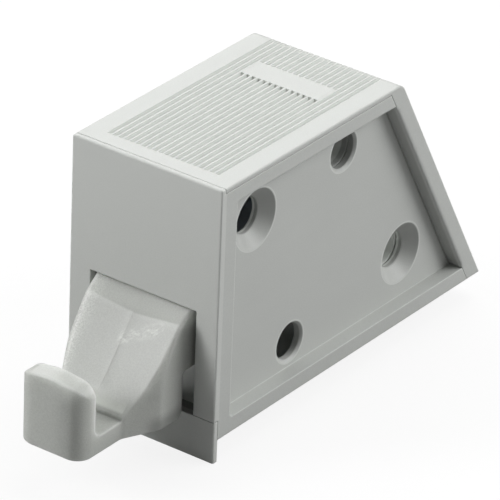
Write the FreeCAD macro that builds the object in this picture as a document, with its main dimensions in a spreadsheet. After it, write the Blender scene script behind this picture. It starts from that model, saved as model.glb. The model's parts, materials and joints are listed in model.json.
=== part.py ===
import FreeCAD, Part
import math
import os
import re

import Sketcher
from FreeCAD import Vector

# Push to open catch for a furniture door, in millimetres.
# X runs across the catch, Y into the cabinet and Z up. The origin is at mid-width, on the corner
# where the base meets the rear face of the locating lip, so the base is z = 0 and the lip hangs below.

SIZES = [
    # Housing
    ("body_width", 23.0, "over both side faces"),
    ("body_height", 35.0, "base to ribbed top"),
    ("top_length", 37.55, "front face to rear top corner"),
    ("base_length", 57.5, "front face to rear bottom corner"),
    ("lip_thickness", 0.8, "front plate of the base"),
    ("lip_drop", 3.1, "lip below the base"),
    ("lip_top", 2.65, "upper edge of the lip plate, sill of the slot"),
    ("front_wall", 2.2, "front wall"),
    ("front_edge", 0.7, "thin upper edge of the front wall, in front of the cover"),
    ("seam", 0.08, "open line where two mouldings meet"),
    ("slot_half", 8.25, "half width of the slot and of the cavity"),
    ("slot_top", 17.3, "upper edge of the slot"),
    ("slot_relief", 1.3, "rise of the slot's roof behind its edge"),
    ("edge_round", 0.2, "outer edges"),
    ("small_round", 0.25, "small edges"),
    ("cut_past", 1.0, "how far a cut runs past the material"),
    ("overrun", 0.1, "how far a groove or pad runs past the surface"),
    # Side recess
    ("recess_depth", 2.1, "recess in each side"),
    ("rim_front", 3.2, "rim in front of the recess"),
    ("rim_top", 2.6, "rim above the recess"),
    ("rim_bottom", 2.1, "rim below the recess"),
    ("back_wall", 2.45, "slanted back, square to its face"),
    ("recess_round", 0.6, "corners of the recess"),
    # Screw holes, measured from the front face and the base
    ("screw_bore", 2.5, "radius of each screw hole"),
    ("screw_head", 8.2, "diameter of a countersink"),
    ("screw_angle", 90.0, "angle of a countersink, in degrees"),
    ("screw_boss", 3.9, "radius of the boss behind a countersink"),
    ("boss_depth", 1.3, "boss behind a countersink"),
    ("exit_chamfer", 0.3, "chamfer of a plain hole"),
    ("hole_a_y", 10.0, "upper front hole"),
    ("hole_a_z", 26.4, "upper front hole"),
    ("hole_b_y", 28.2, "upper rear hole"),
    ("hole_b_z", 28.6, "upper rear hole"),
    ("hole_c_y", 42.0, "lower rear hole"),
    ("hole_c_z", 8.4, "lower rear hole"),
    ("hole_d_y", 18.3, "lower front hole"),
    ("hole_d_z", 5.55, "lower front hole"),
    # Cover
    ("skin_edge", 0.6, "edge of the cover's top skin over the side plates"),
    ("plug_depth", 1.8, "plug of the cover between the side plates"),
    ("corner_round", 1.8, "rounded rear top corner"),
    ("groove_pitch", 0.871, "pitch of the grooves"),
    ("groove_count", 20.0, "grooves"),
    ("groove_depth", 0.42, "grooves"),
    ("groove_mouth", 0.3, "half width of a groove at the top"),
    ("groove_floor", 0.17, "half width of a groove at its floor"),
    ("groove_start", 3.15, "front face to the grooves"),
    ("groove_end", 3.0, "base to the lower end of the grooves"),
    ("pad_half", 5.93, "half width of the smooth pad across the grooves"),
    ("pad_start", 27.0, "front face to the smooth pad"),
    ("pad_length", 3.8, "smooth pad"),
    ("tube_radius", 3.9, "screw tubes inside"),
    ("post_radius", 1.9, "post that carries the cam follower"),
    ("post_y", 37.0, "post behind the lip's rear face"),
    ("post_z", 24.35, "lower end of the post"),
    ("post_height", 5.2, "post, up into the slanted back"),
    ("seat_radius", 3.0, "seat of the ejector spring"),
    ("seat_y", 41.3, "seat of the ejector spring"),
    # Base plate
    ("floor_thickness", 1.4, "floor of the base plate"),
    ("plug_gap", 0.1, "free play of a moulding between the side plates"),
    ("cheek_thickness", 0.55, "upright cheeks with the tilt slots"),
    ("cheek_front", 1.6, "front edge of the cheeks"),
    ("cheek_step", 13.2, "rear edge of a cheek's foot"),
    ("cheek_rear", 17.6, "rear edge of the cheeks, the slider's front stop"),
    ("cheek_step_z", 9.9, "top of a cheek's foot"),
    ("cheek_top", 19.0, "upper edge of the cheeks"),
    ("cheek_round", 1.0, "upper corners of the cheeks"),
    ("slot_play", 0.1, "play of the guide pin in its slot"),
    # Motion
    ("travel", 12.5, "slider, from rest to fully pushed"),
    ("tilt", 9.8, "hook, from rest to fully pushed, in degrees"),
    ("hold_back", 1.5, "slider, from fully pushed back to the held place"),
    # Hook, measured outwards from the front face and up from the base
    ("hook_reach", 18.3, "front face to the front of the nose"),
    ("nose_thickness", 2.8, "nose"),
    ("nose_peak", 13.0, "top of the nose at mid-width"),
    ("nose_shoulder", 12.4, "top of the nose at its corners, before they are rounded"),
    ("nose_half", 5.0, "half width of the nose"),
    ("nose_round", 2.4, "upper corners of the nose"),
    ("nose_crown", 9.0, "crown of the nose's top"),
    ("nose_upright", 2.2, "upright front edges of the nose"),
    ("nose_edge", 0.25, "front edge of the nose's top"),
    ("nose_ease", 0.06, "how far the arch's flanks stand outside the nose's sides"),
    ("nose_side", 7.0, "height up to which the nose's sides are plain"),
    ("heel_round", 0.4, "lower edges of the hook"),
    ("hook_bottom", 2.45, "underside of the hook"),
    ("floor_z", 5.0, "floor of the hook behind its nose"),
    ("nose_fillet", 1.4, "inner corner between floor and nose"),
    ("crease_out", 10.2, "front face to the crease between ramp and floor"),
    ("crease_z", 5.15, "floor at the crease"),
    ("crease_step", 0.42, "small step from the floor up to the ramp"),
    ("flare_start", 10.2, "front face to where the hook begins to widen"),
    ("knee_out", 6.8, "bend in the ramp"),
    ("knee_z", 9.2, "bend in the ramp"),
    ("brow_out", 2.1, "point on the ramp near its upper end"),
    ("brow_z", 15.3, "point on the ramp near its upper end"),
    ("facet_slope", 0.775, "rise to run of the facet above the ramp"),
    ("facet_reach", 3.6, "how far outwards the facet's cut goes"),
    ("facet_dish", 0.55, "hollow of the facet"),
    ("facet_hollow", 12.0, "radius in the middle of the facet's hollow"),
    ("flare_out", 5.2, "front face to where the hook is full width"),
    ("flank_round", 1.8, "bends in the hook's side faces"),
    ("hook_half", 7.4, "half width of the hook in the slot"),
    ("hook_top", 17.1, "top of the hook in the slot"),
    ("hook_back", 1.0, "front face to the heel's rear face"),
    ("back_round", 1.2, "lower rear corner of the heel"),
    ("shank_z", 8.8, "underside of the shank"),
    ("waist_y", 4.8, "rear end of the hook's full width, behind its guide pin"),
    ("waist_half", 7.0, "half width of the hook between the rails"),
    ("shoulder_y", 10.5, "rear end of that width"),
    ("neck_y", 13.0, "front end of the hook's eye"),
    ("neck_round", 1.0, "bends at the front of the eye"),
    ("shank_run", 2.0, "slope up from the shank to the eye"),
    ("heel_corner", 0.5, "inner corner between heel and shank"),
    ("eye_corner", 3.15, "rounding of the eye, a little under its radius"),
    ("dish", 0.45, "valley in the middle of the ramp"),
    ("ramp_round", 0.6, "long edges of the ramp"),
    ("ramp_steep", 2.0, "drop to run where the ramp's long edges turn down"),
    # Hook pivot and guide pin
    ("pivot_y", 18.0, "hook pivot"),
    ("pivot_z", 15.5, "hook pivot"),
    ("eye_radius", 3.2, "eye of the hook"),
    ("eye_half", 3.9, "half width of the eye"),
    ("pin_radius", 1.25, "pivot pin"),
    ("pin_play", 0.05, "play of the pivot pin in the eye"),
    ("guide_y", 3.4, "guide pin"),
    ("guide_z", 11.0, "guide pin"),
    ("guide_radius", 1.0, "guide pin"),
    ("guide_half", 8.05, "half length of the guide pin"),
    ("pin_chamfer", 0.2, "ends of both pins"),
    # Slider
    ("slider_front", 17.7, "front faces of the wings"),
    ("slider_rear", 27.6, "rear face of the slider"),
    ("slider_bottom", 13.4, "underside of the spring housing"),
    ("housing_half", 4.4, "half width of the spring housing"),
    ("wing_half", 7.95, "half width over the wings"),
    ("wing_bottom", 15.6, "underside of the wings"),
    ("wing_top", 20.0, "top of the wings"),
    ("plate_half", 5.5, "half width of the cam plate"),
    ("plate_front", 11.0, "front edge of the cam plate"),
    ("plate_top", 22.5, "top of the cam plate"),
    ("fork_front", 14.8, "front of the fork arms"),
    ("fork_bottom", 12.3, "underside of the fork arms"),
    ("fork_inner", 4.15, "half width between the fork arms"),
    ("fork_outer", 6.9, "half width over the fork arms"),
    ("fork_rear", 21.35, "bottom of the fork's gap"),
    ("rail_width", 0.85, "rails on the side plates"),
    ("rail_bottom", 17.2, "rails on the side plates"),
    ("rail_height", 1.2, "rails on the side plates"),
    ("rail_front", 18.0, "rails on the side plates"),
    ("rail_rear", 42.0, "rails on the side plates"),
    ("rail_play", 0.1, "play of the slider on its rails"),
    # Ejector spring and its rod
    ("spring_z", 17.8, "axis of the ejector spring"),
    ("spring_bore", 3.1, "radius of the bore for the spring"),
    ("spring_front", 22.8, "bottom of that bore"),
    ("spring_radius", 2.6, "mean radius of the coils"),
    ("spring_wire", 0.3, "radius of the spring wire"),
    ("spring_turns", 9.0, "turns of the spring"),
    ("end_pitch", 0.66, "pitch of the spring's closed end turns"),
    ("rod_radius", 1.8, "guide rod"),
    ("rod_front", 35.8, "tip of the guide rod"),
    ("rod_rear", 44.3, "pressed end of the guide rod"),
    # Heart cam and its follower
    ("follower_reach", 11.0, "pivot leg to tip leg of the follower"),
    ("follower_wire", 0.5, "radius of the follower's wire"),
    ("follower_z", 23.6, "arm of the follower"),
    ("follower_head", 28.0, "upper end of the pivot leg"),
    ("follower_swing", 12.07, "follower, from rest to fully pushed, in degrees"),
    ("track_depth", 1.1, "heart-shaped track"),
    ("track_half", 0.65, "half width of the track"),
    ("tip_play", 0.15, "tip of the follower above the track's floor"),
    ("leaf_half", 1.5, "half width of the leaf spring"),
    ("leaf_front", 27.5, "front end of the leaf spring"),
    ("leaf_rear", 38.6, "rear end of the leaf spring"),
    ("leaf_thickness", 0.2, "leaf spring"),
    ("leaf_hole", 0.75, "radius of the hole in the leaf spring"),
    ("leaf_round", 0.6, "corners of the leaf spring"),
]
ALIASES = {alias for alias, value, note in SIZES}

# Places worked out from the sizes above, as expressions that the sheet can read.
FRONT = "(0 - lip_thickness)"
SLOPE = "((base_length - top_length) / body_height)"
STRETCH = f"sqrt(1 + {SLOPE} ^ 2)"
HALF_WIDTH = "(body_width / 2)"
RECESS_X = f"({HALF_WIDTH} - recess_depth)"
INNER_Y = f"({FRONT} + front_wall)"
SKIN_Z = "(body_height - skin_edge)"
PLUG_Z = f"({SKIN_Z} - plug_depth)"
PLUG_X = "(slot_half - plug_gap)"
SCREWS = {name: (f"({FRONT} + hole_{name}_y)", f"hole_{name}_z") for name in "abcd"}


def back_y(height, inset="0"):
    """The y of the slanted back's outer face at a height, moved inwards square to the face."""
    return f"({FRONT} + base_length - {SLOPE} * ({height}) - ({inset}) * {STRETCH})"


def out(distance):
    """The y of a place that lies outwards from the front face."""
    return f"({FRONT} - ({distance}))"


DOC = FreeCAD.newDocument("push_catch")
SHEET = DOC.addObject("Spreadsheet::Sheet", "sizes")
for row, (alias, value, note) in enumerate(SIZES, start=1):
    SHEET.set(f"A{row}", str(value))
    SHEET.setAlias(f"A{row}", alias)
    SHEET.set(f"B{row}", note)
DOC.recompute()


def bound(expression):
    """The expression as another object writes it, with the sheet's name before each alias."""
    return re.sub(r"[a-z_]+", lambda m: f"sizes.{m[0]}" if m[0] in ALIASES else m[0], expression)


def size(expression):
    """The value of an expression now."""
    return float(SHEET.evalExpression(expression))


def place(*coordinates):
    """A point whose coordinates are expressions."""
    return Vector(*[size(coordinate) for coordinate in coordinates])


def minus(expression):
    return f"(0 - ({expression}))"


def constrain(sketch, kind, geometry, position, expression):
    """Tie one coordinate or radius in a sketch to an expression."""
    name = f"{kind}_{geometry}_{position}"
    if kind == "Radius":
        constraint = Sketcher.Constraint(kind, geometry, size(expression))
    else:
        constraint = Sketcher.Constraint(kind, -1, 1, geometry, position, size(expression))
    sketch.renameConstraint(sketch.addConstraint(constraint), name)
    sketch.setExpression(f"Constraints.{name}", bound(expression))


def pin_point(sketch, geometry, position, point):
    constrain(sketch, "DistanceX", geometry, position, point[0])
    constrain(sketch, "DistanceY", geometry, position, point[1])


def outline(sketch, corners, closed=True):
    """Straight lines through the corners. A corner may carry a third value, its rounding."""
    first = sketch.GeometryCount
    count = len(corners)
    lines = count if closed else count - 1
    spots = [place(x, y, "0") for x, y, *rounding in corners]
    for index in range(lines):
        sketch.addGeometry(Part.LineSegment(spots[index], spots[(index + 1) % count]), False)
    for index in range(lines if closed else lines - 1):
        following = first + (index + 1) % count
        sketch.addConstraint(Sketcher.Constraint("Coincident", first + index, 2, following, 1))
    for index in range(lines):
        pin_point(sketch, first + index, 1, corners[index])
    if not closed:
        pin_point(sketch, first + lines - 1, 2, corners[-1])
    for index, (x, y, *rounding) in enumerate(corners):
        if rounding:
            before = first + (index - 1) % count
            corner = spots[index]
            near = [corner + (spots[other % count] - corner) * 0.1 for other in (index - 1, index + 1)]
            arc = sketch.GeometryCount
            sketch.fillet(before, first + index, near[0], near[1], size(rounding[0]), True, True)
            constrain(sketch, "Radius", arc, 0, rounding[0])


def circle(sketch, centre, radius):
    disc = Part.Circle(place(*centre, "0"), Vector(0, 0, 1), size(radius))
    index = sketch.addGeometry(disc, False)
    pin_point(sketch, index, 3, centre)
    constrain(sketch, "Radius", index, 0, radius)


def long_hole(sketch, start, end, radius):
    """A slot with round ends about two centres."""
    ends = [place(*start, "0"), place(*end, "0")]
    along = (ends[1] - ends[0]).normalize()
    side = Vector(-along.y, along.x, 0) * size(radius)
    turn = math.atan2(side.y, side.x)
    first = sketch.GeometryCount
    rims = [Part.Circle(centre, Vector(0, 0, 1), size(radius)) for centre in ends]
    sketch.addGeometry(Part.ArcOfCircle(rims[0], turn, turn + math.pi), False)
    sketch.addGeometry(Part.LineSegment(ends[0] - side, ends[1] - side), False)
    sketch.addGeometry(Part.ArcOfCircle(rims[1], turn - math.pi, turn), False)
    sketch.addGeometry(Part.LineSegment(ends[1] + side, ends[0] + side), False)
    joints = [(0, 2, 1, 1), (1, 2, 2, 1), (2, 2, 3, 1), (3, 2, 0, 1)]
    for one, one_end, other, other_end in joints:
        sketch.addConstraint(Sketcher.Constraint("Tangent", first + one, one_end, first + other, other_end))
    for index, centre in ((first, start), (first + 2, end)):
        pin_point(sketch, index, 3, centre)
        constrain(sketch, "Radius", index, 0, radius)


class Piece:
    """One moulding, whose features are added in order and checked one by one."""

    def __init__(self, label):
        self.body = DOC.addObject("PartDesign::Body", label)
        self.body.Label = label
        self.volume = 0.0

    def sketch(self, name, role, offset="0"):
        """A sketch on a plane of the piece: YZ looks along X, XZ along Y and XY along Z."""
        sketch = self.body.newObject("Sketcher::SketchObject", f"{self.body.Name}_{name}")
        plane = [item for item in self.body.Origin.OriginFeatures if item.Role == f"{role}_Plane"][0]
        sketch.AttachmentSupport = [(plane, "")]
        sketch.MapMode = "FlatFace"
        sketch.setExpression("AttachmentOffset.Base.z", bound(minus(offset) if role == "XZ" else offset))
        return sketch

    def done(self, feature, grows):
        """Stop if a feature failed, or changed nothing."""
        DOC.recompute()
        volume = feature.Shape.Volume
        change = volume - self.volume if grows else self.volume - volume
        if "Invalid" in feature.State or "Error" in feature.State or change <= 0:
            raise RuntimeError(f"{feature.Name} changed the volume by {change}")
        self.volume = volume
        return feature

    def extrude(self, kind, sketch, length, side="One side", reverse=False):
        feature = self.body.newObject(f"PartDesign::{kind}", f"{sketch.Name}_{kind}")
        feature.Profile = sketch
        feature.SideType = side
        feature.Reversed = reverse
        feature.setExpression("Length", bound(length))
        return self.done(feature, kind == "Pad")

    def pad(self, sketch, length, **options):
        return self.extrude("Pad", sketch, length, **options)

    def pocket(self, sketch, length, **options):
        return self.extrude("Pocket", sketch, length, **options)

    def block(self, name, low, high, cut=False):
        """A plain block between two corners, added to the piece or cut from it."""
        sketch = self.sketch(name, "XY", low[2])
        outline(sketch, [(low[0], low[1]), (high[0], low[1]), (high[0], high[1]), (low[0], high[1])])
        height = f"({high[2]}) - ({low[2]})"
        if cut:
            return self.pocket(sketch, height, reverse=True)
        return self.pad(sketch, height)

    def edges_at(self, points):
        """The names of the edges that pass through these points."""
        names = []
        for point in points:
            spot = Part.Vertex(place(*point))
            gaps = [edge.distToShape(spot)[0] for edge in self.body.Tip.Shape.Edges]
            if min(gaps) > 0.2:
                raise RuntimeError(f"no edge of {self.body.Name} at {point}: {min(gaps)}")
            names.append(f"Edge{gaps.index(min(gaps)) + 1}")
        return sorted(set(names))

    def dress(self, kind, name, amount, points):
        """Round or chamfer the edges through these points."""
        edges = self.edges_at(points)
        base = self.body.Tip
        feature = self.body.newObject(f"PartDesign::{kind}", f"{self.body.Name}_{name}")
        feature.Base = (base, edges)
        feature.setExpression("Radius" if kind == "Fillet" else "Size", bound(amount))
        DOC.recompute()
        if "Invalid" in feature.State or not feature.Shape.isValid():
            raise RuntimeError(f"{feature.Name} failed")
        self.volume = feature.Shape.Volume
        return feature


def both(*point):
    """A point and its mirror image across the middle of the catch."""
    return [point, (minus(point[0]),) + point[1:]]


def drill(piece, name, x, holes, reverse):
    """Screw holes right across the housing, countersunk from the side recess at x."""
    sketch = piece.sketch(name, "YZ", x)
    for hole in holes:
        circle(sketch, SCREWS[hole], "screw_bore")
    DOC.recompute()
    feature = piece.body.newObject("PartDesign::Hole", f"{sketch.Name}_Hole")
    feature.Profile = sketch
    feature.Reversed = reverse
    feature.DepthType = "ThroughAll"
    feature.DrillPoint = "Flat"
    feature.setExpression("Diameter", bound("2 * screw_bore"))
    feature.HoleCutType = "Countersink"
    feature.HoleCutCustomValues = True
    feature.setExpression("HoleCutDiameter", bound("screw_head"))
    feature.setExpression("HoleCutCountersinkAngle", bound("screw_angle"))
    piece.done(feature, False)


def build_body():
    """Front wall with the slot, and both side plates with their recesses and screw holes."""
    piece = Piece("body")
    side = piece.sketch("side", "YZ")
    outline(side, [
        ("0", "0"),
        (back_y("0", "back_wall") + " - seam", "0"),
        (back_y(f"{SKIN_Z} - seam", "back_wall") + " - seam", f"{SKIN_Z} - seam"),
        (f"{FRONT} + front_edge", f"{SKIN_Z} - seam"),
        (f"{FRONT} + front_edge", "body_height"),
        (FRONT, "body_height"),
        (FRONT, "lip_top + seam"),
        ("0", "lip_top + seam"),
    ])
    piece.pad(side, "body_width", side="Symmetric")
    piece.block("cavity", (minus("slot_half"), INNER_Y, "0 - cut_past"),
                ("slot_half", "base_length", "body_height + cut_past"), cut=True)
    slot = piece.sketch("slot", "YZ")
    outline(slot, [
        (f"{FRONT} - cut_past", "0 - cut_past"),
        (f"{INNER_Y} + cut_past", "0 - cut_past"),
        (f"{INNER_Y} + cut_past", "slot_top + slot_relief * (front_wall + cut_past) / front_wall"),
        (FRONT, "slot_top"),
        (f"{FRONT} - cut_past", "slot_top"),
    ])
    piece.pocket(slot, "2 * slot_half", side="Symmetric")
    for name, sign in (("right", ""), ("left", "0 - ")):
        recess = piece.sketch(f"{name}_recess", "YZ", f"{sign}{RECESS_X}")
        outline(recess, [
            (f"{FRONT} + rim_front", "rim_bottom", "recess_round"),
            ("base_length + cut_past", "rim_bottom"),
            ("base_length + cut_past", "body_height - rim_top"),
            (f"{FRONT} + rim_front", "body_height - rim_top", "recess_round"),
        ])
        piece.pocket(recess, "recess_depth + cut_past", reverse=name == "right")
    for name, sign, holes in (("right", "", "ac"), ("left", "0 - ", "bd")):
        bosses = piece.sketch(f"{name}_bosses", "YZ", f"{sign}slot_half")
        for hole in holes:
            circle(bosses, SCREWS[hole], "screw_boss")
        piece.pad(bosses, "boss_depth", reverse=name == "right")
    drill(piece, "right_screws", RECESS_X, "ac", False)
    drill(piece, "left_screws", minus(RECESS_X), "bd", True)
    exits = [(RECESS_X, SCREWS[hole][0] + " + screw_bore", SCREWS[hole][1]) for hole in "bd"]
    exits += [(minus(RECESS_X), SCREWS[hole][0] + " + screw_bore", SCREWS[hole][1]) for hole in "ac"]
    piece.dress("Chamfer", "exits", "exit_chamfer", exits)
    for name, low, high in (("right_rail", "slot_half - rail_width", "slot_half"),
                            ("left_rail", "0 - slot_half", "rail_width - slot_half")):
        rail_low = (low, "rail_front", "rail_bottom")
        rail_high = (high, "rail_rear", "rail_bottom + rail_height")
        piece.block(name, rail_low, rail_high)
    piece.dress("Fillet", "front_edges", "edge_round", both(HALF_WIDTH, FRONT, "body_height / 2"))
    piece.dress("Fillet", "top_front_edge", "small_round", [("0", FRONT, "body_height")])
    return piece


def build_cover():
    """Ribbed top skin and slanted back in one moulding, with what hangs from its inside."""
    piece = Piece("top_cover")
    front = f"({FRONT} + front_edge + seam)"
    shell = piece.sketch("shell", "YZ")
    outline(shell, [
        (front, SKIN_Z),
        (back_y(SKIN_Z, "back_wall"), SKIN_Z),
        (back_y("0", "back_wall"), "0"),
        (back_y("0"), "0"),
        (back_y("body_height"), "body_height", "corner_round"),
        (front, "body_height"),
    ])
    piece.pad(shell, "body_width", side="Symmetric")
    rim = both(HALF_WIDTH, "body_height / 2", "body_height")
    rim += both(HALF_WIDTH, back_y("body_height / 2"), "body_height / 2")
    piece.dress("Fillet", "outer_edges", "edge_round", rim)
    plug = piece.sketch("plug", "YZ")
    outline(plug, [
        (f"{INNER_Y} + plug_gap", PLUG_Z),
        (back_y(PLUG_Z, "back_wall"), PLUG_Z),
        (back_y(SKIN_Z, "back_wall / 2"), SKIN_Z),
        (f"{INNER_Y} + plug_gap", SKIN_Z),
    ])
    piece.pad(plug, f"2 * {PLUG_X}", side="Symmetric")
    build_screw_tube(piece, "b", PLUG_X, "boss_depth + plug_gap", PLUG_Z)
    post = piece.sketch("post", "XY", "post_z")
    circle(post, ("0", "post_y"), "post_radius")
    piece.pad(post, "post_height")
    socket = piece.sketch("post_socket", "XY", "post_z")
    circle(socket, ("0", "post_y"), "follower_wire + pin_play")
    piece.pocket(socket, "follower_head + tip_play - post_z", reverse=True)
    seat = piece.sketch("spring_seat", "XZ", "seat_y")
    circle(seat, ("0", "spring_z"), "seat_radius")
    piece.pad(seat, "rod_rear - seat_y", reverse=True)
    bore = piece.sketch("rod_bore", "XZ", "seat_y")
    circle(bore, ("0", "spring_z"), "rod_radius")
    piece.pocket(bore, "rod_rear - seat_y")
    cut_grooves(piece)
    pad_low = (minus("pad_half"), f"{FRONT} + pad_start", "body_height - groove_depth - overrun")
    pad_high = ("pad_half", f"{FRONT} + pad_start + pad_length", "body_height")
    piece.block("smooth_pad", pad_low, pad_high)
    return piece


def build_screw_tube(piece, hole, wide, short, root):
    """A tube round the screw's way between the side plates, on a web that joins it to its carrier.

    It stops short of the boss that stands on the countersunk side's plate.
    """
    centre = SCREWS[hole]
    countersunk_right = hole in "ac"
    gap = f"({wide} - ({short}))"
    low, high = (minus(wide), gap) if countersunk_right else (minus(gap), wide)
    web_low = (low, f"{centre[0]} - tube_radius / 2", centre[1] if hole == "b" else root)
    web_high = (high, f"{centre[0]} + tube_radius / 2", root if hole == "b" else centre[1])
    piece.block(f"web_{hole}", web_low, web_high)
    tube = piece.sketch(f"tube_{hole}", "YZ", low)
    circle(tube, centre, "tube_radius")
    piece.pad(tube, f"({high}) - ({low})")
    bore = piece.sketch(f"bore_{hole}", "YZ")
    circle(bore, centre, "screw_bore")
    piece.pocket(bore, "body_width", side="Symmetric")


def cut_grooves(piece):
    """Fine grooves that run back over the top, round the rear corner and down the slanted back."""
    first_x = "(0 - (groove_count - 1) / 2 * groove_pitch)"
    start = f"({FRONT} + groove_start)"
    way = piece.sketch("groove_way", "YZ", first_x)
    outline(way, [
        (start, "body_height"),
        (back_y("body_height"), "body_height", "corner_round"),
        (back_y("groove_end"), "groove_end"),
    ], closed=False)
    section = piece.sketch("groove_section", "XZ", start)
    mouth = "(groove_mouth + (groove_mouth - groove_floor) * overrun / groove_depth)"
    outline(section, [
        (f"{first_x} - groove_floor", "body_height - groove_depth"),
        (f"{first_x} + groove_floor", "body_height - groove_depth"),
        (f"{first_x} + {mouth}", "body_height + overrun"),
        (f"{first_x} - {mouth}", "body_height + overrun"),
    ])
    groove = piece.body.newObject("PartDesign::SubtractivePipe", "top_cover_groove")
    groove.Profile = section
    groove.Spine = (way, [])
    piece.done(groove, False)
    row = piece.body.newObject("PartDesign::LinearPattern", "top_cover_grooves")
    row.Originals = [groove]
    across = [item for item in piece.body.Origin.OriginFeatures if item.Role == "X_Axis"][0]
    row.Direction = (across, [""])
    row.setExpression("Length", bound("(groove_count - 1) * groove_pitch"))
    row.setExpression("Occurrences", bound("groove_count"))
    piece.body.Tip = row
    piece.done(row, False)


def turned(y, z, share="1"):
    """Where a point of the hook lies when the slider has gone that share of its travel."""
    angle = f"(tilt * {share})"
    ahead = f"(pivot_y - ({y}))"
    above = f"(({z}) - pivot_z)"
    return (f"(pivot_y + travel * {share} - {ahead} * cos({angle}) + {above} * sin({angle}))",
            f"(pivot_z + {ahead} * sin({angle}) + {above} * cos({angle}))")


def build_base():
    """Floor with the front lip, the upright cheeks that tilt the hook, and a screw tube."""
    piece = Piece("base_plate")
    floor = piece.sketch("floor", "YZ")
    outline(floor, [
        ("0", "0"),
        (back_y("0", "back_wall") + " - seam", "0"),
        (back_y("floor_thickness", "back_wall") + " - seam", "floor_thickness"),
        ("0", "floor_thickness"),
    ])
    piece.pad(floor, f"2 * {PLUG_X}", side="Symmetric")
    piece.block("lip", (minus(HALF_WIDTH), FRONT, "0 - lip_drop"), (HALF_WIDTH, "0", "lip_top"))
    for name, low, high in (("right_seam", PLUG_X, HALF_WIDTH),
                            ("left_seam", minus(HALF_WIDTH), minus(PLUG_X))):
        piece.block(name, (low, "0 - seam", "0"), (high, "0", "lip_top + cut_past"), cut=True)
    sill_low = (minus(PLUG_X), "0", "floor_thickness")
    piece.block("sill", sill_low, (PLUG_X, "cheek_front", "lip_top"))
    rest = ("guide_y", "guide_z")
    for name, low in (("right", PLUG_X + " - cheek_thickness"), ("left", minus(PLUG_X))):
        cheek = piece.sketch(f"{name}_cheek", "YZ", low)
        outline(cheek, [
            ("0", "floor_thickness"),
            ("cheek_step", "floor_thickness"),
            ("cheek_step", "cheek_step_z"),
            ("cheek_rear", "cheek_step_z"),
            ("cheek_rear", "cheek_top", "cheek_round"),
            ("cheek_front", "cheek_top", "cheek_round"),
            ("cheek_front", "lip_top"),
            ("0", "lip_top"),
        ])
        piece.pad(cheek, "cheek_thickness")
    slots = piece.sketch("tilt_slots", "YZ")
    long_hole(slots, rest, turned(*rest), "guide_radius + slot_play")
    piece.pocket(slots, "body_width", side="Symmetric")
    build_screw_tube(piece, "c", PLUG_X, "boss_depth + plug_gap", "floor_thickness")
    piece.dress("Fillet", "lip_edges", "small_round", both(HALF_WIDTH, FRONT, "0"))
    return piece


def build_hook():
    """Hook lever: nose, floor, hollow ramp, full-width block in the slot, shank and eye."""
    piece = Piece("hook")
    front = out("hook_reach + cut_past")
    rear = out("hook_reach - nose_thickness")
    side = piece.sketch("side", "YZ")
    outline(side, [
        (front, "hook_bottom"),
        (front, "nose_peak + cut_past"),
        (rear, "nose_peak + cut_past"),
        (rear, "floor_z", "nose_fillet"),
        (out("crease_out"), "crease_z"),
        (out("crease_out"), "hook_top"),
        ("shoulder_y", "hook_top"),
        ("pivot_y - eye_radius", "pivot_z + eye_radius"),
        ("pivot_y + eye_radius", "pivot_z + eye_radius", "eye_corner"),
        ("pivot_y + eye_radius", "pivot_z - eye_radius", "eye_corner"),
        ("pivot_y - eye_radius", "pivot_z - eye_radius"),
        ("shoulder_y - shank_run", "shank_z"),
        (out("hook_back"), "shank_z", "heel_corner"),
        (out("hook_back"), "hook_bottom", "back_round"),
    ])
    piece.pad(side, "2 * hook_half", side="Symmetric")
    shape_nose(piece, rear)
    for name, sign in (("right", ""), ("left", "0 - ")):
        rear_flank = piece.sketch(f"{name}_rear_flank", "XY")
        outline(rear_flank, [
            (f"{sign}(hook_half + cut_past)", "waist_y"),
            (f"{sign}hook_half", "waist_y"),
            (f"{sign}waist_half", "waist_y + hook_half - waist_half"),
            (f"{sign}waist_half", "shoulder_y"),
            (f"{sign}eye_half", "neck_y", "neck_round"),
            (f"{sign}eye_half", "pivot_y + eye_radius + cut_past"),
            (f"{sign}(hook_half + cut_past)", "pivot_y + eye_radius + cut_past"),
        ])
        piece.pocket(rear_flank, "2 * body_height", side="Symmetric")
    shape_ramp(piece)
    heel = both("nose_half", rear, "hook_bottom")
    piece.dress("Fillet", "heel_edges", "heel_round", heel)
    bores = piece.sketch("bores", "YZ")
    circle(bores, ("pivot_y", "pivot_z"), "pin_radius + pin_play")
    circle(bores, ("guide_y", "guide_z"), "guide_radius")
    piece.pocket(bores, "body_width", side="Symmetric")
    return piece


def shape_nose(piece, rear):
    """Round the nose's top as an arch, then its upright edges and the hook's side faces in plan."""
    arch = piece.sketch("arch", "XZ", rear)
    right = [
        ("hook_half + cut_past", "nose_side"),
        ("nose_half + nose_ease", "nose_side"),
        ("nose_half + nose_ease", "nose_shoulder", "nose_round"),
    ]
    left = [(minus(x), *rest) for x, *rest in reversed(right)]
    top = [(minus("(hook_half + cut_past)"), "nose_peak + 2 * cut_past"),
           ("hook_half + cut_past", "nose_peak + 2 * cut_past")]
    outline(arch, right + [("0", "nose_peak", "nose_crown")] + left + top)
    piece.pocket(arch, "nose_thickness + 2 * cut_past", reverse=True)
    plan = piece.sketch("plan", "XY")
    right = [
        ("hook_half + cut_past", "0 - lip_thickness"),
        ("hook_half", "0 - lip_thickness"),
        ("hook_half", out("flare_out"), "flank_round"),
        ("nose_half", out("flare_start"), "flank_round"),
        ("nose_half", out("hook_reach"), "nose_upright"),
    ]
    left = [(minus(x), *rest) for x, *rest in reversed(right)]
    beyond = out("hook_reach + 2 * cut_past")
    front = [(minus("(hook_half + cut_past)"), beyond), ("hook_half + cut_past", beyond)]
    outline(plan, right + left + front)
    piece.pocket(plan, "2 * body_height", side="Symmetric")
    piece.dress("Fillet", "nose_front", "nose_edge", [("0", out("hook_reach"), "nose_peak")])


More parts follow.
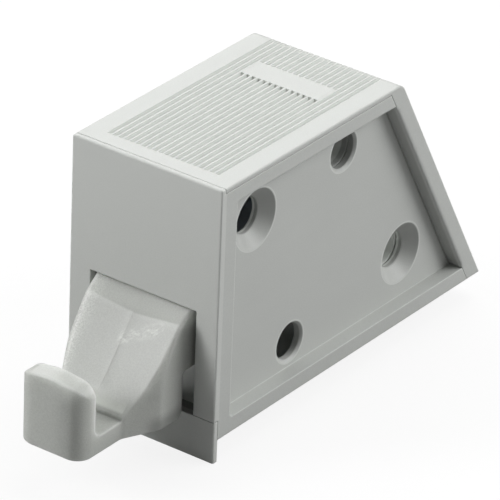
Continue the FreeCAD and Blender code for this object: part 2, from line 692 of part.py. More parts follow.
def carve(piece, name, stations):
    """Cut everything above a hollow surface that runs through sections along Y.

    A station gives its place, height at the edges, half width, hollow and the share of easing
    that the two long edges have there.
    """
    sections = []
    for label, y, z, half, hollow, share in stations:
        run = f"(cut_past + ramp_round * {share} / 4)"
        right = [
            (f"{half} + cut_past - {run}", z, f"ramp_round * {share}"),
            (f"{half} + cut_past", f"({z}) - ramp_steep * {run}"),
            (f"{half} + cut_past", "body_height"),
        ]
        left = [(minus(x), *rest) for x, *rest in reversed(right)]
        section = piece.sketch(f"{name}_{label}", "XZ", y)
        outline(section, [hollow] + right + left)
        sections.append(section)
    loft = piece.body.newObject("PartDesign::SubtractiveLoft", f"hook_{name}")
    loft.Profile = sections[0]
    loft.Sections = sections[1:]
    piece.done(loft, False)


def shape_ramp(piece):
    """The ramp with its shallow valley, and the flatter hollow facet between it and the slot."""
    ramp_slope = "((brow_z - knee_z) / (knee_out - brow_out))"
    head_z = f"(brow_z + {ramp_slope} * brow_out)"
    foot_z = "(crease_z + crease_step)"
    knee_half = ("(nose_half + (hook_half - nose_half) * (flare_start - knee_out)"
                 " / (flare_start - flare_out))")
    stations = [
        ("head", FRONT, head_z, "hook_half", "1", "1"),
        ("brow", out("brow_out"), "brow_z", "hook_half", "1", "1"),
        ("knee", out("knee_out"), "knee_z", knee_half, "0.7", "0.8"),
        ("foot", out("crease_out"), foot_z, "nose_half", "0.1", "0.3"),
    ]
    carve(piece, "ramp", [
        (label, y, z, half, ("0", f"{z} - dish * {depth}"), share)
        for label, y, z, half, depth, share in stations
    ])
    heights = [
        ("inner", "lip_thickness", "2 * lip_thickness"),
        ("outer", out("facet_reach"), "0 - facet_reach"),
    ]
    carve(piece, "facet", [
        (label, y, f"(hook_top + facet_slope * ({rise}))", "hook_half",
         ("0", f"hook_top + facet_slope * ({rise}) - facet_dish", "facet_hollow"), "1")
        for label, y, rise in heights
    ])


def build_slider():
    """Slider: spring housing, wings on the rails, fork for the hook and the heart-cam plate."""
    piece = Piece("slider")
    section = piece.sketch("section", "XZ", "slider_front")
    groove_x = "(slot_half - rail_width - rail_play)"
    groove_low = "(rail_bottom - rail_play)"
    groove_high = "(rail_bottom + rail_height + rail_play)"
    right = [
        ("housing_half", "slider_bottom"),
        ("housing_half", "wing_bottom"),
        ("wing_half", "wing_bottom"),
        ("wing_half", groove_low),
        (groove_x, groove_low),
        (groove_x, groove_high),
        ("wing_half", groove_high),
        ("wing_half", "wing_top"),
        ("plate_half", "wing_top"),
        ("plate_half", "plate_top"),
    ]
    left = [(minus(x), z) for x, z in reversed(right)]
    outline(section, right + left)
    piece.pad(section, "slider_rear - slider_front", reverse=True)
    piece.block("fork", (minus("fork_outer"), "fork_front", "fork_bottom"),
                ("fork_outer", "slider_front + cut_past", "wing_top"))
    piece.block("plate", (minus("plate_half"), "plate_front", "wing_top"),
                ("plate_half", "slider_front + cut_past", "plate_top"))
    piece.block("fork_gap", (minus("fork_inner"), "fork_front - cut_past", "fork_bottom - cut_past"),
                ("fork_inner", "fork_rear", "wing_top"), cut=True)
    spring = piece.sketch("spring_bore", "XZ", "slider_rear")
    circle(spring, ("0", "spring_z"), "spring_bore")
    piece.pocket(spring, "slider_rear - spring_front", reverse=True)
    pin = piece.sketch("pin_bore", "YZ")
    circle(pin, ("pivot_y", "pivot_z"), "pin_radius")
    piece.pocket(pin, "body_width", side="Symmetric")
    rest = ("0", "post_y - follower_reach")
    reach_in = "(post_y - follower_reach * cos(follower_swing) - travel)"
    swing = "(follower_reach * sin(follower_swing))"
    held = ("0", "post_y - follower_reach - travel + hold_back")
    turns = [rest, (minus(swing), reach_in), held, (swing, reach_in), rest]
    for number, (start, end) in enumerate(zip(turns, turns[1:]), start=1):
        leg = piece.sketch(f"track_{number}", "XY", "plate_top")
        long_hole(leg, start, end, "track_half")
        piece.pocket(leg, "track_depth")
    return piece


def build_pin(label, y, z, radius, half):
    """A plain steel cross pin along X with chamfered ends."""
    pin = DOC.addObject("Part::Cylinder", f"{label}_rod")
    pin.setExpression("Radius", bound(radius))
    pin.setExpression("Height", bound(f"2 * {half}"))
    pin.Placement.Rotation = FreeCAD.Rotation(Vector(0, 1, 0), 90)
    pin.setExpression("Placement.Base.x", bound(minus(half)))
    pin.setExpression("Placement.Base.y", bound(y))
    pin.setExpression("Placement.Base.z", bound(z))
    return chamfered(label, pin)


def chamfered(label, pin):
    """The pin with both end edges chamfered."""
    DOC.recompute()
    ends = [number for number, edge in enumerate(pin.Shape.Edges, start=1)
            if edge.Closed and isinstance(edge.Curve, Part.Circle)]
    piece = DOC.addObject("Part::Chamfer", label)
    piece.Label = label
    piece.Base = pin
    piece.Edges = [(number, size("pin_chamfer"), size("pin_chamfer")) for number in ends]
    return piece


def build_rod():
    """Guide rod of the ejector spring, pressed into the cover's spring seat."""
    rod = DOC.addObject("Part::Cylinder", "spring_guide_rod_bar")
    rod.setExpression("Radius", bound("rod_radius"))
    rod.setExpression("Height", bound("rod_rear - rod_front"))
    rod.Placement.Rotation = FreeCAD.Rotation(Vector(1, 0, 0), -90)
    rod.setExpression("Placement.Base.y", bound("rod_front"))
    rod.setExpression("Placement.Base.z", bound("spring_z"))
    return chamfered("spring_guide_rod", rod)


def build_follower():
    """Cam follower: a wire with its ends bent square, one up into the post, one down into the track."""
    piece = Piece("cam_follower")
    tip_y = "(post_y - follower_reach)"
    tip_z = "(plate_top - track_depth + tip_play)"
    way = piece.sketch("way", "YZ")
    outline(way, [
        ("post_y", "follower_head"),
        ("post_y", "follower_z"),
        (tip_y, "follower_z"),
        (tip_y, tip_z),
    ], closed=False)
    section = piece.sketch("section", "XY", "follower_head")
    circle(section, ("0", "post_y"), "follower_wire")
    wire = piece.body.newObject("PartDesign::AdditivePipe", "cam_follower_wire")
    wire.Profile = section
    wire.Spine = (way, [])
    wire.Transition = "Round corner"
    piece.done(wire, True)
    return piece


def build_leaf():
    """Flat leaf spring under the post, which keeps the follower's tip down."""
    piece = Piece("follower_leaf")
    strip = piece.sketch("strip", "XY", "post_z - leaf_thickness")
    outline(strip, [
        (minus("leaf_half"), "leaf_front", "leaf_round"),
        ("leaf_half", "leaf_front", "leaf_round"),
        ("leaf_half", "leaf_rear", "leaf_round"),
        (minus("leaf_half"), "leaf_rear", "leaf_round"),
    ])
    circle(strip, ("0", "post_y"), "leaf_hole")
    piece.pad(strip, "leaf_thickness")
    return piece


def build_spring():
    """Ejector spring at rest length, from the slider's bore to its seat on the slanted back."""
    wire = size("spring_wire")
    front = size("spring_front") + wire
    rear = size("seat_y") - wire
    end_pitch = size("end_pitch")
    active = rear - front - 2 * end_pitch
    turns = size("spring_turns") - 2
    radius = size("spring_radius")
    first = Part.makeHelix(end_pitch, end_pitch, radius)
    middle = Part.makeHelix(active / turns, active, radius)
    middle.translate(Vector(0, 0, end_pitch))
    last = Part.makeHelix(end_pitch, end_pitch, radius)
    last.translate(Vector(0, 0, end_pitch + active))
    path = Part.Wire(first.Edges + middle.Edges + last.Edges)
    section = Part.Wire(Part.makeCircle(wire, Vector(radius, 0, 0), Vector(0, 1, 0)))
    spring = DOC.addObject("Part::Feature", "ejector_spring")
    spring.Label = "ejector_spring"
    spring.Shape = path.makePipeShell([section], True, True)
    spring.Placement.Rotation = FreeCAD.Rotation(Vector(1, 0, 0), -90)
    spring.Placement.Base = Vector(0, front, size("spring_z"))
    return spring


def main():
    mouldings = (build_body, build_cover, build_base, build_hook, build_slider, build_follower, build_leaf)
    pieces = [build().body for build in mouldings]
    pieces.append(build_pin("hook_pivot_pin", "pivot_y", "pivot_z", "pin_radius", "fork_outer"))
    pieces.append(build_pin("hook_guide_pin", "guide_y", "guide_z", "guide_radius", "guide_half"))
    pieces.append(build_rod())
    pieces.append(build_spring())
    DOC.recompute()
    for item in DOC.Objects:
        if "Invalid" in item.State or "Error" in item.State:
            raise RuntimeError(f"{item.Name} is {item.State}")
    os.makedirs("parts", exist_ok=True)
    for piece in pieces:
        if piece.Shape.isNull() or not piece.Shape.isValid():
            raise RuntimeError(f"{piece.Label} has no valid shape")
        print(piece.Label, len(piece.Shape.Solids), round(piece.Shape.Volume, 2))
        piece.Shape.exportStep(f"parts/{piece.Label}.step")


main()
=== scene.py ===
import json
import math

import bmesh
import bpy
from mathutils import Matrix, Vector


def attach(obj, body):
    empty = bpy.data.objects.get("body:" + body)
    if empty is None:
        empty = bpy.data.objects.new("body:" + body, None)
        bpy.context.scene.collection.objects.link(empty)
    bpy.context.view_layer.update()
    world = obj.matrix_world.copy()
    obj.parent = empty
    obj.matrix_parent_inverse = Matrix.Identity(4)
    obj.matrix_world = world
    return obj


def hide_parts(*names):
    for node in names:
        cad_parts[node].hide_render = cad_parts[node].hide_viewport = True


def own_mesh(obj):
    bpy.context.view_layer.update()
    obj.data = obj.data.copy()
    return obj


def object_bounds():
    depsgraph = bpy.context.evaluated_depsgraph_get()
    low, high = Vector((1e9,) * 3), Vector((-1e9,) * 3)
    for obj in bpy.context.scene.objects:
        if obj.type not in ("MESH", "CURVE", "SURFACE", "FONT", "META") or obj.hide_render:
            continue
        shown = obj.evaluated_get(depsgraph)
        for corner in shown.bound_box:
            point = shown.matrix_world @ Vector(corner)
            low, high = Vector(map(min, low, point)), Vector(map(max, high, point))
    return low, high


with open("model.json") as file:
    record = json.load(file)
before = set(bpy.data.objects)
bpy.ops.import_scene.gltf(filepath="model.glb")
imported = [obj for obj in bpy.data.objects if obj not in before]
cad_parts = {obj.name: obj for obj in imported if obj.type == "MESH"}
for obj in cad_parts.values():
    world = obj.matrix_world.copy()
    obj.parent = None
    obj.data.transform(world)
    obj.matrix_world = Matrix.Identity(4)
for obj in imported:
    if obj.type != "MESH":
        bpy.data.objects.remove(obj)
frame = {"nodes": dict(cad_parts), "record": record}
cad_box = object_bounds()

# Push to open catch for a furniture door, in metres. X runs across it, Y into the cabinet and Z up.
# The origin is at mid-width, on the corner where the base meets the rear face of the locating lip.
MM = 0.001
FLOOR_HALF = 3.0
FLOOR_GAP = 0.03 * MM

# The camera's place and line of sight in the same frame. Its lens takes in the photograph's square.
CAMERA_PLACE = Vector((357.6, -476.0, 347.5)) * MM
CAMERA_AIM = Vector((-0.51265, 0.71293, -0.47846)).normalized()
CAMERA_ROLL = math.radians(2.26)
CAMERA_LENS = 399.1
CAMERA_SENSOR = 36.0
CAMERA_NEAR = 0.01
CAMERA_FAR = 20.0

WORLD_LIGHT = 0.015
# Colour of the floor, of the paper that the camera sees in its place, and how much of that is plain white.
FLOOR_COLOUR = 0.35
PAPER_COLOUR = 0.95
FLOOR_SHOWN = 0.86
# Name, place, size and power in watts of each softbox. All of them aim at the middle of the housing.
SOFTBOXES = [
    ("key_left", Vector((-450, -450, 370)) * MM, 0.30, 2.36),
    ("high_left", Vector((-420, -330, 620)) * MM, 0.42, 0.78),
    ("low_left", Vector((-400, -600, 150)) * MM, 0.50, 1.00),
    ("right_front", Vector((520, -420, 260)) * MM, 0.50, 0.20),
    ("right_rear", Vector((450, 350, 350)) * MM, 0.50, 2.88),
    ("left_rear", Vector((-400, 400, 400)) * MM, 0.50, 1.80),
    ("overhead", Vector((0, 300, 650)) * MM, 0.50, 1.90),
]
AIM = Vector((0, 18, 14)) * MM

# The ejector spring's copy is joined up from loose triangles, within this distance.
SPRING_JOIN = 0.0001 * MM

# From here to the end of the finishes, lengths are in millimetres, and a level is how light a colour is.
# The moulded edges: the radius with which they catch the light, how far they are painted pale as wear and
# as highlight, how soon that is full on a crest, and the samples that round them.
EDGE_RADIUS = 0.25
HOOK_EDGE_RADIUS = 0.45
EDGE_WEAR_AND_LIGHT = 0.8
EDGE_GAIN = 4.0
BEVEL_SAMPLES = 6
# Radius of the corner where the recess meets the slanted back.
FILLET_RADIUS = 0.9
# How far the slanted back comes forward for each millimetre of height.
BACK_SLOPE = 0.57
# Pitch of the ribs on the top and back, and how far they are rounded.
RIB_PITCH = 0.871
RIB_ROUND = 0.012
# Place of each screw hole along Y and Z, the side that its countersink is on, and how dark the painted
# shade in its bore is.
HOLES = [(9.2, 26.4, 1, 0.0), (27.4, 28.6, -1, 0.45), (41.2, 8.4, 1, 0.12), (17.5, 5.55, -1, 0.0)]
# How much wider the mouth of a hole is on the side of its countersink, and how the painted shade in it
# leans.
COUNTERSINK = 1.3
SHADE_LEAN = 0.4

# Levels of the housing: its clouded skin, the smoother grooves of the top, painted paler to lift their
# shade, and the painted light on the upper part of its front.
SKIN_DARK = 0.545
SKIN_PALE = 0.640
GROOVE_LIGHT_LEVEL = 0.725
FRONT_LIGHT_LEVEL = 0.68
# Worn edges with painted highlights, painted highlights on hole rims and front corners, painted shade in
# mouths, on walls and in bores, painted shade on the walls beside the slot, and painted light on the hollow
# inside.
RUBBED_AND_LIT_LEVEL = 0.85
SHADED_LEVEL = 0.22
BORE_SHADE_LEVEL = 0.12
SLOT_SHADE_LEVEL = 0.20
HOLLOW_LIGHT_LEVEL = 0.85

# How far light goes into the hook, and its levels: the body, its painted highlights and paler speckles, and
# the painted shade on its heel.
MILKY_DEPTH = 3.0
MILKY_DARK = 0.49
MILKY_PALE = 0.72
LIGHT_AND_SPECKLE_LEVEL = 0.95
HEEL_SHADE_LEVEL = 0.20
# The ramp of the hook: the slope of each half of its valley, and how far its fold is drawn out.
VALLEY_SLOPE = 0.064
VALLEY_SPREAD = 2.2
# How much the foot of the ramp turns up into the trough.
FOOT_LIFT = 0.5
# The right half of the nose's front turns to the right, by this much for each millimetre.
NOSE_TURN = 0.13
# The painted highlight streaks on the upper ramp: their lean across the ramp, their height and their place
# off mid-width.
HIGHLIGHT_LEAN = 0.46
HIGHLIGHT_HEIGHT = 12.4
HIGHLIGHT_ASIDE = 2.3


class Sum:
    """A shader value that can be written in sums. Each operator adds one Math node."""

    def __init__(self, finish, socket):
        self.finish = finish
        self.socket = socket

    def maths(self, operation, *others):
        """A Math node on this value and the others."""
        values = dict(enumerate((self, *others)))
        return self.finish.node("ShaderNodeMath", {"operation": operation}, values)

    def __add__(self, other):
        return self.maths("ADD", other)

    __radd__ = __add__

    def __mul__(self, other):
        return self.maths("MULTIPLY", other)

    __rmul__ = __mul__

    def __sub__(self, other):
        return self.maths("SUBTRACT", other)

    def __rsub__(self, other):
        return self.finish.node("ShaderNodeMath", {"operation": "SUBTRACT"}, {0: other, 1: self})

    def __pow__(self, other):
        return self.maths("POWER", other)

    def size(self):
        """The value without its sign."""
        return self.maths("ABSOLUTE")

    def least(self, other):
        """The smaller of the two."""
        return self.maths("MINIMUM", other)

    def most(self, other):
        """The greater of the two."""
        return self.maths("MAXIMUM", other)


class Finish:
    """One material, built round the shader that every new material has."""

    def __init__(self, name):
        self.material = bpy.data.materials.new(name)
        self.material.use_nodes = True
        self.tree = self.material.node_tree
        self.shader = self.tree.nodes["Principled BSDF"]

    def node(self, kind, settings=None, inputs=None, output=0):
        """A node of this kind, with its settings made before its sockets. Gives one of its outputs."""
        made = self.tree.nodes.new(kind)
        for name, value in (settings or {}).items():
            setattr(made, name, value)
        for name, value in (inputs or {}).items():
            self.plug(made.inputs[name], value)
        return Sum(self, made.outputs[output])

    def plug(self, socket, value):
        """Link the value to the socket, or write it there if it is plain."""
        if isinstance(value, Sum):
            self.tree.links.new(value.socket, socket)
        else:
            socket.default_value = value

    def set(self, **values):
        """Give the shader its values. An underscore stands for a space in the socket's name."""
        for name, value in values.items():
            self.plug(self.shader.inputs[name.replace("_", " ")], value)

    def vector(self, operation, values, output=0):
        """A Vector Math node."""
        return self.node("ShaderNodeVectorMath", {"operation": operation}, values, output)

    def place(self):
        """Where a point lies in the object, in millimetres."""
        here = self.node("ShaderNodeTexCoord", output="Object")
        return self.vector("SCALE", {0: here, "Scale": 1 / MM})

    def normal(self):
        """The plain normal of the face."""
        return self.node("ShaderNodeNewGeometry", output="Normal")

    def axes(self, vector):
        """The x, y and z of a point or direction, each by itself."""
        split = self.node("ShaderNodeSeparateXYZ", inputs={0: vector})
        return [Sum(self, output) for output in split.socket.node.outputs]

    def rise(self, value, start, end):
        """A smooth rise from 0 at the start to 1 at the end."""
        inputs = {"Value": value, "From Min": start, "From Max": end}
        return self.node("ShaderNodeMapRange", {"interpolation_type": "SMOOTHSTEP"}, inputs)

    def fall(self, value, start, end):
        """A smooth fall from 1 at the start to 0 at the end."""
        return self.rise(value * -1.0, -end, -start)

    def between(self, value, low, high, soft):
        """1 from low to high, with soft ends."""
        return self.rise(value, low - soft, low + soft) * self.fall(value, high - soft, high + soft)

    def noise(self, where, scale, detail=2.0, roughness=0.5):
        """Noise from 0 to 1. Its scale is in cells to the millimetre."""
        inputs = {"Vector": where, "Scale": scale, "Detail": detail, "Roughness": roughness}
        return self.node("ShaderNodeTexNoise", {"noise_dimensions": "3D"}, inputs)

    def stretch(self, where, x, y, z):
        """The same place, drawn out along the axes."""
        return self.vector("MULTIPLY", {0: where, 1: (x, y, z)})

    def blend(self, share, one, other):
        """From one colour to the other."""
        return self.node("ShaderNodeMix", {"data_type": "RGBA"}, {0: share, 6: one, 7: other}, output=2)

    def turn(self, share, one, other):
        """From one direction to the other."""
        return self.node("ShaderNodeMix", {"data_type": "VECTOR"}, {0: share, 4: one, 5: other}, output=1)

    def rounded(self, radius):
        """The normal as if each sharp edge had this small radius, in millimetres."""
        return self.node("ShaderNodeBevel", {"samples": BEVEL_SAMPLES}, {"Radius": radius * MM})

    def towards(self, normal, right, up):
        """The normal turned to the right and up."""
        aside = self.node("ShaderNodeCombineXYZ", inputs={"X": right, "Z": up})
        return self.vector("NORMALIZE", {0: self.vector("ADD", {0: normal, 1: aside})})

    def edge(self, rounded):
        """Near 1 on the crest of a sharp edge and 0 on the open faces."""
        along = self.vector("DOT_PRODUCT", {0: rounded, 1: self.normal()}, "Value")
        return ((1 - along) * EDGE_GAIN).least(1.0)

    def bump(self, height, strength, depth, under=None):
        """The normal with this relief on it. It starts from the normal under it, or from the plain one."""
        inputs = {"Height": height, "Strength": strength, "Distance": depth}
        if under is not None:
            inputs["Normal"] = under
        return self.node("ShaderNodeBump", inputs=inputs)


def greatest(values):
    """The greatest of several shader values."""
    first, *others = values
    for other in others:
        first = first.most(other)
    return first


def grey(level, warm=0.0):
    """An opaque colour near grey. Warmth takes a little of the blue away."""
    return (level * (1 + warm), level, level * (1 - warm), 1.0)


def plastic(level):
    """The housing's light grey, a touch short of blue."""
    return (level * 0.974, level, level * 0.962, 1.0)


def milky(level):
    """The hook's translucent white, a little greener and warmer than the housing."""
    return (level * 0.975, level, level * 0.950, 1.0)


def screw_holes(finish, x, y, z):
    """Where each screw hole gets a painted highlight on its rim, painted shade in the upper side of its
    mouth, and painted shade in its bore.
    """
    aside = x.size()
    on_face = finish.between(aside, 9.33, 9.55, 0.03)
    below_face = finish.fall(aside, 9.34, 9.38)
    in_wall = finish.fall(aside, 8.9, 9.1)
    rims, mouths, bores = [], [], []
    for hole_y, hole_z, side, dark in HOLES:
        reach = ((y - hole_y) ** 2.0 + (z - hole_z) ** 2.0) ** 0.5
        mouth = reach - finish.rise(x * side, -0.5, 0.5) * COUNTERSINK
        middle = hole_z + hole_y * SHADE_LEAN
        upper = finish.rise(z + y * SHADE_LEAN, middle - 2.5, middle + 1.0)
        # Painted highlight round the rim of the mouth.
        rims.append(finish.between(mouth, 2.84, 3.02, 0.05) * on_face * 0.55)
        # Painted shade in the upper side of the mouth.
        mouths.append(finish.fall(mouth, 2.76, 2.80) * upper * below_face)
        # Painted shade in the bore.
        bores.append(finish.fall(reach, 2.56, 2.62) * in_wall * dark)
    return greatest(rims), greatest(mouths), greatest(bores)


def ribbed_skin(finish, x, y, z, back):
    """Where the ribs of the top and back are, without the pad across them, and where the grooves are
    painted paler to lift their shade.
    """
    aside = x.size()
    outside = finish.rise(z, 34.2, 34.4).most(finish.rise(back, 55.7, 56.0))
    ribbed = finish.fall(aside, 8.95, 9.0) * finish.rise(y, 2.3, 2.4) * finish.rise(z, 3.0, 3.1)
    pad = finish.fall(aside, 5.9, 6.0) * finish.between(y, 26.2, 30.0, 0.05) * finish.rise(z, 34.9, 34.98)
    field = finish.fall(aside, 8.8, 9.0) * finish.rise(y, 2.0, 2.4) * finish.rise(z, 33.9, 34.1)
    # The second mask is where the grooves are painted paler, lifting their shade.
    return ribbed * outside * (1 - pad), finish.fall(z, 34.85, 34.99) * field


def slanted_wall(finish, x, z, back):
    """Where the recess turns into its slanted wall, and where painted shade lies on that wall."""
    aside = x.size()
    inside_rims = finish.rise(aside, 9.2, 9.3) * finish.between(z, 2.6, 31.9, 0.2)
    fillet = finish.between(back, 52.9, 54.9, 0.2) * inside_rims
    # Painted shade on the slanted wall.
    wall = finish.between(back, 53.5, 54.6, 0.4) * finish.between(aside, 9.45, 11.0, 0.3)
    return fillet, wall * fillet


def housing_finish():
    """Light grey moulded plastic with a fine satin grain and faint flow marks."""
    finish = Finish("housing_plastic")
    where = finish.place()
    x, y, z = finish.axes(where)
    aside = x.size()
    back = y + z * BACK_SLOPE
    ribs, groove_light = ribbed_skin(finish, x, y, z, back)
    fillet, wall = slanted_wall(finish, x, z, back)
    rim, mouth, bore = screw_holes(finish, x, y, z)

    cloud = finish.noise(where, 0.07, 3.0)
    grain = finish.noise(where, 5.0, 4.0, 0.7)
    flow = finish.noise(finish.stretch(where, 0.5, 0.06, 0.5), 0.9, 3.0)
    shade = cloud * 0.4 + flow * 0.2 + finish.rise(grain, 0.3, 0.7) * 0.4
    skin = finish.blend(shade, plastic(SKIN_DARK), plastic(SKIN_PALE))
    # The grooves are painted paler, lifting their shade.
    moulded = finish.blend(groove_light, skin, plastic(GROOVE_LIGHT_LEVEL))

    rounded = finish.rounded(EDGE_RADIUS)
    eased = finish.turn(fillet, rounded, finish.rounded(FILLET_RADIUS))
    wave = (x * (2 * math.pi / RIB_PITCH)).maths("COSINE")
    soft = finish.turn(ribs, eased, finish.normal())
    relief = finish.bump(wave * ribs, 1.0, RIB_ROUND * MM, soft)

    # Painted light on the outer front corners, lifting their dark rounding.
    front_corner_light = finish.rise(aside, 11.27, 11.36) * finish.fall(y, 0.12, 0.22) * 0.3
    # Edge wear on the crests, also standing in for the highlights that the edges catch.
    worn_and_lit_edges = finish.edge(rounded) * (1 - ribs) * (1 - fillet) * EDGE_WEAR_AND_LIGHT
    # Painted shade in the mouths of the holes and on the slanted wall.
    shaded = finish.blend((mouth * 0.5).most(wall * 0.45), moulded, plastic(SHADED_LEVEL))
    # Worn edges plus painted highlights on the hole rims and the front corners.
    rubbed_and_lit = finish.blend(greatest([worn_and_lit_edges, front_corner_light, rim]), shaded, plastic(RUBBED_AND_LIT_LEVEL))
    # Painted shade in two of the bores.
    bored = finish.blend(bore, rubbed_and_lit, plastic(BORE_SHADE_LEVEL))

    # Painted shade on the walls beside the slot.
    slot_depth = finish.between(y, 0.2, 4.6, 0.1) * finish.fall(z, 17.0, 17.5)
    slot_wall_shade = finish.fall(aside, 9.0, 9.2) * slot_depth * 0.5
    slotted = finish.blend(slot_wall_shade, bored, plastic(SLOT_SHADE_LEVEL))
    # Painted light on the upper part of the front, paler towards the top.
    upper_front_light = finish.fall(y, -0.7, -0.6) * finish.rise(z - x * 0.3, 10.0, 40.0) * 0.6
    fronted = finish.blend(upper_front_light, slotted, plastic(FRONT_LIGHT_LEVEL))
    # Painted light on the hollow inside, so that what is seen through the holes is paler.
    under_skin = finish.fall(z, 33.1, 33.3) * finish.fall(back, 54.1, 54.4)
    hollow_light = finish.fall(aside, 7.2, 7.4) * finish.rise(y, 2.4, 2.8) * under_skin * (1 - bore)
    finish.set(
        Base_Color=finish.blend(hollow_light, fronted, plastic(HOLLOW_LIGHT_LEVEL)),
        Roughness=cloud * 0.10 + grain * 0.08 + 0.36,
        Normal=finish.bump(grain + flow * 0.3, 0.6, 0.025 * MM, relief),
    )
    return finish.material


def hook_shape(finish, x, z, on_ramp, on_nose, at_foot):
    """The hook's normal: soft edges, the ramp's drawn-out fold, its lifted foot and the turned nose."""
    fold = ((x * x + VALLEY_SPREAD ** 2) ** 0.5 - x.size()) * VALLEY_SLOPE * on_ramp
    drawn = finish.bump(fold, 1.0, MM, finish.rounded(HOOK_EDGE_RADIUS))
    facing = finish.axes(finish.normal())[1]
    nose_front = on_nose * finish.fall(facing, -0.5, -0.1) * finish.fall(z, 9.5, 12.4)
    lifted = at_foot * finish.fall(facing, -0.5, -0.2) * FOOT_LIFT
    return finish.towards(drawn, x.most(0.0) * nose_front * NOSE_TURN, lifted)


def ramp_highlight_streaks(finish, x, z):
    """Painted highlight streaks across the upper ramp, drawn out along their lean."""
    along = z - x * HIGHLIGHT_LEAN - HIGHLIGHT_HEIGHT
    streaks = finish.node("ShaderNodeCombineXYZ", inputs={"X": along * 1.3, "Y": x * 0.7})
    streak_band = finish.fall(along.size(), 0.2, 1.1) * finish.fall((x - HIGHLIGHT_ASIDE).size(), 2.2, 3.2)
    return streak_band * finish.rise(finish.noise(streaks, 1.3, 4.0, 0.75), 0.40, 0.72)


def hook_finish():
    """Milky hook plastic: light goes a little way in, and its surface is smooth with faint sink marks."""
    finish = Finish("hook_plastic")
    where = finish.place()
    x, y, z = finish.axes(where)
    aside = x.size()
    cloud = finish.noise(where, 0.16, 3.0)
    skin = finish.noise(where, 3.5, 3.0)
    frost = finish.noise(where, 5.0, 4.0, 0.8)

    on_ramp = finish.rise(y, -10.0, -8.5)
    on_nose = finish.fall(y, -17.6, -16.6)
    at_foot = finish.fall(z, 5.3, 7.5) * finish.rise(y, -10.8, -10.4)
    # Painted light on the foot of the ramp, lifting the shade there.
    foot = at_foot * finish.fall(aside, 4.6, 4.9)
    # Painted light on the facet above the brow.
    brow_light = finish.rise(z + y * 0.15, 14.2, 15.6)
    # Painted shade on the lower part of the heel.
    heel_shade = finish.rise(x, 6.0, 7.0) * finish.fall(z, 3.2, 5.2) * finish.rise(y, -9.5, -6.5) * 0.6
    # Painted shade along the fold of the ramp's valley.
    fold_shade = finish.fall(aside, 0.03, 0.14) * finish.fall(z, 11.5, 12.5) * on_ramp
    # Paler speckles on the left side of the ramp.
    left_ramp_speckles = finish.fall(x, -6.8, -4.4) * finish.rise(frost, 0.40, 0.62) * on_ramp * 0.35
    # Painted highlight streaks, paler speckles and painted light on the foot.
    light_and_speckles = greatest([ramp_highlight_streaks(finish, x, z) * on_ramp * 0.8, left_ramp_speckles, foot * 0.5])

    frosted = cloud * 0.1 + finish.rise(frost, 0.3, 0.7) * 0.4
    # Random tone, painted light on the brow and foot, a slightly darker nose and painted shade along the
    # fold.
    pale = frosted + brow_light * 0.5 + foot - on_nose * 0.04 - fold_shade * 0.3
    whole = finish.blend(pale, milky(MILKY_DARK), milky(MILKY_PALE))
    lit_and_speckled = finish.blend(light_and_speckles, whole, milky(LIGHT_AND_SPECKLE_LEVEL))
    shape = hook_shape(finish, x, z, on_ramp, on_nose, at_foot)
    finish.set(
        Base_Color=finish.blend(heel_shade, lit_and_speckled, milky(HEEL_SHADE_LEVEL)),
        Roughness=skin * 0.10 + 0.30,
        Normal=finish.bump(cloud + skin * 0.2 + frost * 0.5, 0.14, 0.05 * MM, shape),
        Subsurface_Weight=1.0,
        Subsurface_Radius=(1.0, 1.0, 1.0),
        Subsurface_Scale=MILKY_DEPTH * MM,
        Specular_IOR_Level=0.45,
    )
    return finish.material


def slider_finish():
    """Darker grey slider plastic, worn smooth where it runs."""
    finish = Finish("slider_plastic")
    where = finish.place()
    grain = finish.noise(where, 6.0, 3.0)
    streak = finish.noise(finish.stretch(where, 1.0, 0.08, 1.0), 3.0, 3.0)
    shade = grain * 0.5 + streak * 0.5
    finish.set(
        Base_Color=finish.blend(shade, (0.50, 0.55, 0.62, 1.0), (0.58, 0.63, 0.70, 1.0)),
        Roughness=streak * 0.22 + 0.30,
        Normal=finish.bump(grain, 0.15, 0.01 * MM),
    )
    return finish.material


def pin_finish():
    """Ground steel with fine rings round the pin."""
    finish = Finish("steel_pin")
    rings = finish.noise(finish.stretch(finish.place(), 18.0, 0.4, 0.4), 1.0, 3.0)
    finish.set(
        Base_Color=finish.blend(rings, grey(0.50, 0.01), grey(0.60, 0.01)),
        Metallic=1.0,
        Roughness=rings * 0.18 + 0.22,
        Normal=finish.bump(rings, 0.1, 0.005 * MM),
    )
    return finish.material


def spring_finish():
    """Drawn spring steel, a little darker and mottled."""
    finish = Finish("spring_steel")
    mottle = finish.noise(finish.place(), 7.0, 4.0, 0.7)
    finish.set(
        Base_Color=finish.blend(mottle, grey(0.34, 0.02), grey(0.46, 0.02)),
        Metallic=1.0,
        Roughness=mottle * 0.20 + 0.28,
        Normal=finish.bump(mottle, 0.12, 0.005 * MM),
    )
    return finish.material


def floor_finish():
    """Plain pale floor. The camera sees it nearly white, and it still shows the catch's shadow."""
    finish = Finish("floor_paper")
    finish.set(Base_Color=grey(FLOOR_COLOUR), Roughness=0.9)
    white = finish.node("ShaderNodeEmission", inputs={"Color": grey(1.0), "Strength": 1.0})
    paper = finish.node("ShaderNodeBsdfDiffuse", inputs={"Color": grey(PAPER_COLOUR)})
    shown = finish.node("ShaderNodeMixShader", inputs={0: FLOOR_SHOWN, 1: paper, 2: white})
    seen = finish.node("ShaderNodeLightPath", output="Is Camera Ray")
    painted = Sum(finish, finish.shader.outputs[0])
    both = finish.node("ShaderNodeMixShader", inputs={0: seen, 1: painted, 2: shown})
    finish.plug(finish.tree.nodes["Material Output"].inputs["Surface"], both)
    return finish.material


def paint(obj, material):
    """Give the object this material alone."""
    obj.data.materials.clear()
    obj.data.materials.append(material)


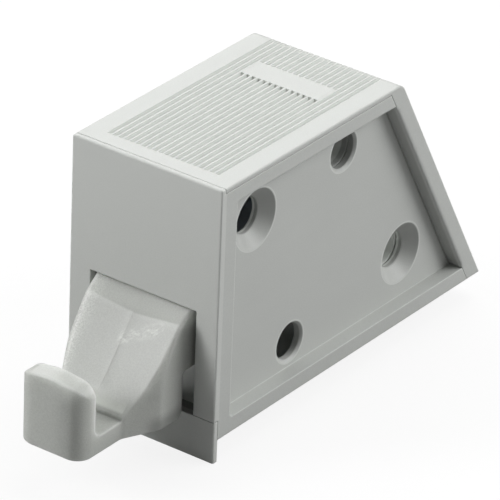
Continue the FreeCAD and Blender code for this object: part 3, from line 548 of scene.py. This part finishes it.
def add_mesh(name, bm, material):
    """A new object whose place is in its mesh."""
    mesh = bpy.data.meshes.new(name)
    bm.to_mesh(mesh)
    bm.free()
    obj = bpy.data.objects.new(name, mesh)
    bpy.context.scene.collection.objects.link(obj)
    paint(obj, material)
    return obj


def add_ejector_coil(material):
    """The ejector spring as a piece of its own, joined up from loose triangles and carried with the
    housing.
    """
    bm = bmesh.new()
    bm.from_mesh(frame["nodes"]["ejector_spring"].data)
    bmesh.ops.remove_doubles(bm, verts=bm.verts[:], dist=SPRING_JOIN)
    for face in bm.faces:
        face.smooth = True
    coil = add_mesh("ejector_coil", bm, material)
    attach(coil, "housing")
    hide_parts("ejector_spring")
    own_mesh(coil)


def add_floor():
    """The floor just under the lowest point of the catch."""
    bm = bmesh.new()
    level = Matrix.Translation((0, 0, cad_box[0].z - FLOOR_GAP))
    bmesh.ops.create_grid(bm, x_segments=1, y_segments=1, size=FLOOR_HALF, matrix=level)
    add_mesh("floor", bm, floor_finish())


def add_camera():
    """The camera at the photograph's viewing angle, with its slight roll."""
    level_right = CAMERA_AIM.cross(Vector((0, 0, 1))).normalized()
    level_up = level_right.cross(CAMERA_AIM)
    right = level_right * math.cos(CAMERA_ROLL) + level_up * math.sin(CAMERA_ROLL)
    up = level_up * math.cos(CAMERA_ROLL) - level_right * math.sin(CAMERA_ROLL)
    data = bpy.data.cameras.new("camera")
    data.sensor_width = CAMERA_SENSOR
    data.lens = CAMERA_LENS
    data.clip_start = CAMERA_NEAR
    data.clip_end = CAMERA_FAR
    camera = bpy.data.objects.new("camera", data)
    turn = Matrix((right, up, -CAMERA_AIM)).transposed().to_4x4()
    camera.matrix_world = Matrix.Translation(CAMERA_PLACE) @ turn
    bpy.context.scene.collection.objects.link(camera)
    bpy.context.scene.camera = camera


def add_light():
    """A faint even world and the softboxes."""
    world = bpy.data.worlds.new("studio")
    world.use_nodes = True
    background = world.node_tree.nodes["Background"]
    background.inputs["Color"].default_value = grey(1.0)
    background.inputs["Strength"].default_value = WORLD_LIGHT
    bpy.context.scene.world = world
    for name, place, size, power in SOFTBOXES:
        data = bpy.data.lights.new(name, "AREA")
        data.shape = "DISK"
        data.size = size
        data.energy = power
        lamp = bpy.data.objects.new(name, data)
        lamp.location = place
        lamp.rotation_mode = "QUATERNION"
        lamp.rotation_quaternion = (AIM - place).to_track_quat("-Z", "Y")
        bpy.context.scene.collection.objects.link(lamp)


def main():
    finishes = {
        "housing_plastic": housing_finish(),
        "hook_plastic": hook_finish(),
        "slider_plastic": slider_finish(),
        "steel_pin": pin_finish(),
        "spring_steel": spring_finish(),
    }
    for part in frame["record"]["subparts"]:
        paint(frame["nodes"][part["node"]], finishes[part["material_slot"]])
    add_ejector_coil(finishes["spring_steel"])
    add_camera()
    add_light()
    add_floor()
    bpy.context.scene.view_settings.view_transform = "Standard"


main()
